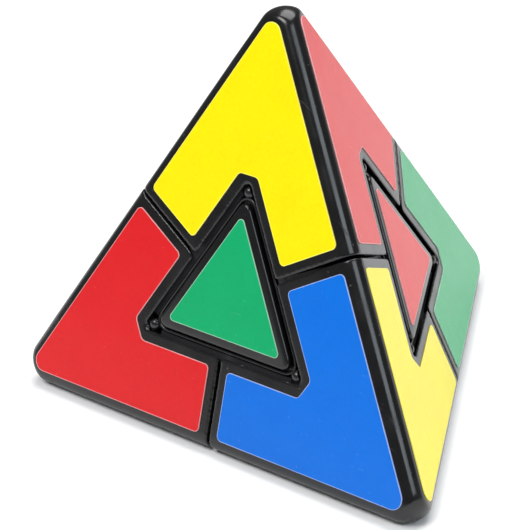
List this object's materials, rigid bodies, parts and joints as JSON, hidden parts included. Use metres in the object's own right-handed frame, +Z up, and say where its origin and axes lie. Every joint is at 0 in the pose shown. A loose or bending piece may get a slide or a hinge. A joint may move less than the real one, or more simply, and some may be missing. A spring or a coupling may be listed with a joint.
{
  "type": "pyramid twisty puzzle",
  "caption": "Tetrahedral twisty puzzle: corners turn about a ball core with the triangles and hidden sliders between them, coloured stickers on black plastic.",
  "frame": {"origin": "middle of the base face, on the outer surface of its sticker", "axes": "+Z up through the top vertex; the front face looks towards -Y; +X to the right"},
  "size_m": [0.0892, 0.0782, 0.0739],
  "materials": {
    "black_plastic": "glossy black injection-moulded plastic",
    "inner_plastic": "satin black moulded plastic",
    "steel": "bright zinc-plated steel",
    "yellow_vinyl": "satin vinyl sticker",
    "red_vinyl": "satin vinyl sticker",
    "blue_vinyl": "satin vinyl sticker",
    "green_vinyl": "satin vinyl sticker"
  },
  "bodies": {
    "core": {"core_ball": "inner_plastic", "core_screw_top": "steel", "core_screw_left": "steel", "core_screw_right": "steel", "core_screw_back": "steel", "screw_washer_top": "steel", "screw_washer_left": "steel", "screw_washer_right": "steel", "screw_washer_back": "steel"},
    "corner_top": {"corner_shell_top": "black_plastic", "corner_hub_top": "inner_plastic", "corner_spring_top": "steel", "sticker_top_right": "red_vinyl", "sticker_top_left": "blue_vinyl", "sticker_top_front": "yellow_vinyl"},
    "corner_left": {"corner_shell_left": "black_plastic", "corner_hub_left": "inner_plastic", "corner_spring_left": "steel", "sticker_left_base": "blue_vinyl", "sticker_left_left": "green_vinyl", "sticker_left_front": "red_vinyl"},
    "corner_right": {"corner_shell_right": "black_plastic", "corner_hub_right": "inner_plastic", "corner_spring_right": "steel", "sticker_right_base": "green_vinyl", "sticker_right_right": "yellow_vinyl", "sticker_right_front": "blue_vinyl"},
    "corner_back": {"corner_shell_back": "black_plastic", "corner_hub_back": "inner_plastic", "corner_spring_back": "steel", "sticker_back_base": "red_vinyl", "sticker_back_right": "green_vinyl", "sticker_back_left": "yellow_vinyl"},
    "edge_top_left": {"edge_slider_top_left": "inner_plastic"},
    "edge_top_right": {"edge_slider_top_right": "inner_plastic"},
    "edge_top_back": {"edge_slider_top_back": "inner_plastic"},
    "edge_left_right": {"edge_slider_left_right": "inner_plastic"},
    "edge_left_back": {"edge_slider_left_back": "inner_plastic"},
    "edge_right_back": {"edge_slider_right_back": "inner_plastic"},
    "triangle_base": {"face_base_base": "inner_plastic", "face_cap_base": "black_plastic", "face_sticker_base": "blue_vinyl"},
    "triangle_right": {"face_base_right": "inner_plastic", "face_cap_right": "black_plastic", "face_sticker_right": "red_vinyl"},
    "triangle_left": {"face_base_left": "inner_plastic", "face_cap_left": "black_plastic", "face_sticker_left": "yellow_vinyl"},
    "triangle_front": {"face_base_front": "inner_plastic", "face_cap_front": "black_plastic", "face_sticker_front": "green_vinyl"}
  },
  "joints": [
    {"name": "turn_top", "type": "hinge", "parent": "core", "child": "corner_top", "pos_m": [0, 0, 0.02035], "axis": [0, 0, 1], "range_deg": [-240, 120]},
    {"name": "turn_left", "type": "hinge", "parent": "core", "child": "corner_left", "pos_m": [0, 0, 0.02035], "axis": [-0.8165, -0.4714, -0.3333], "range_deg": [-240, 120]},
    {"name": "turn_right", "type": "hinge", "parent": "core", "child": "corner_right", "pos_m": [0, 0, 0.02035], "axis": [0.8165, -0.4714, -0.3333], "range_deg": [-240, 120]},
    {"name": "turn_back", "type": "hinge", "parent": "core", "child": "corner_back", "pos_m": [0, 0, 0.02035], "axis": [0, 0.9428, -0.3333], "range_deg": [-240, 120]},
    {"name": "edge_top_back_follows_back", "type": "hinge", "parent": "corner_top", "child": "edge_top_back", "pos_m": [0, 0, 0.02035], "axis": [0, 0.9428, -0.3333], "range_deg": [-240, 120]},
    {"name": "triangle_right_follows_right", "type": "hinge", "parent": "edge_top_back", "child": "triangle_right", "pos_m": [0, 0, 0.02035], "axis": [0.8165, -0.4714, -0.3333], "range_deg": [-240, 120]},
    {"name": "edge_top_left_follows_left", "type": "hinge", "parent": "corner_top", "child": "edge_top_left", "pos_m": [0, 0, 0.02035], "axis": [-0.8165, -0.4714, -0.3333], "range_deg": [-240, 120]},
    {"name": "triangle_left_follows_back", "type": "hinge", "parent": "edge_top_left", "child": "triangle_left", "pos_m": [0, 0, 0.02035], "axis": [0, 0.9428, -0.3333], "range_deg": [-240, 120]},
    {"name": "edge_top_right_follows_right", "type": "hinge", "parent": "corner_top", "child": "edge_top_right", "pos_m": [0, 0, 0.02035], "axis": [0.8165, -0.4714, -0.3333], "range_deg": [-240, 120]},
    {"name": "triangle_front_follows_left", "type": "hinge", "parent": "edge_top_right", "child": "triangle_front", "pos_m": [0, 0, 0.02035], "axis": [-0.8165, -0.4714, -0.3333], "range_deg": [-240, 120]},
    {"name": "edge_left_right_follows_right", "type": "hinge", "parent": "corner_left", "child": "edge_left_right", "pos_m": [0, 0, 0.02035], "axis": [0.8165, -0.4714, -0.3333], "range_deg": [-240, 120]},
    {"name": "triangle_base_follows_back", "type": "hinge", "parent": "edge_left_right", "child": "triangle_base", "pos_m": [0, 0, 0.02035], "axis": [0, 0.9428, -0.3333], "range_deg": [-240, 120]},
    {"name": "edge_right_back_follows_back", "type": "hinge", "parent": "corner_right", "child": "edge_right_back", "pos_m": [0, 0, 0.02035], "axis": [0, 0.9428, -0.3333], "range_deg": [-240, 120]},
    {"name": "edge_left_back_follows_left", "type": "hinge", "parent": "corner_back", "child": "edge_left_back", "pos_m": [0, 0, 0.02035], "axis": [-0.8165, -0.4714, -0.3333], "range_deg": [-240, 120]}
  ],
  "couplings": [
    {"joint": "edge_top_back_follows_back", "follows": "turn_back", "ratio": 1},
    {"joint": "triangle_right_follows_right", "follows": "turn_right", "ratio": 1},
    {"joint": "edge_top_left_follows_left", "follows": "turn_left", "ratio": 1},
    {"joint": "triangle_left_follows_back", "follows": "turn_back", "ratio": 1},
    {"joint": "edge_top_right_follows_right", "follows": "turn_right", "ratio": 1},
    {"joint": "triangle_front_follows_left", "follows": "turn_left", "ratio": 1},
    {"joint": "edge_left_right_follows_right", "follows": "turn_right", "ratio": 1},
    {"joint": "triangle_base_follows_back", "follows": "turn_back", "ratio": 1},
    {"joint": "edge_right_back_follows_back", "follows": "turn_back", "ratio": 1},
    {"joint": "edge_left_back_follows_left", "follows": "turn_left", "ratio": 1}
  ]
}
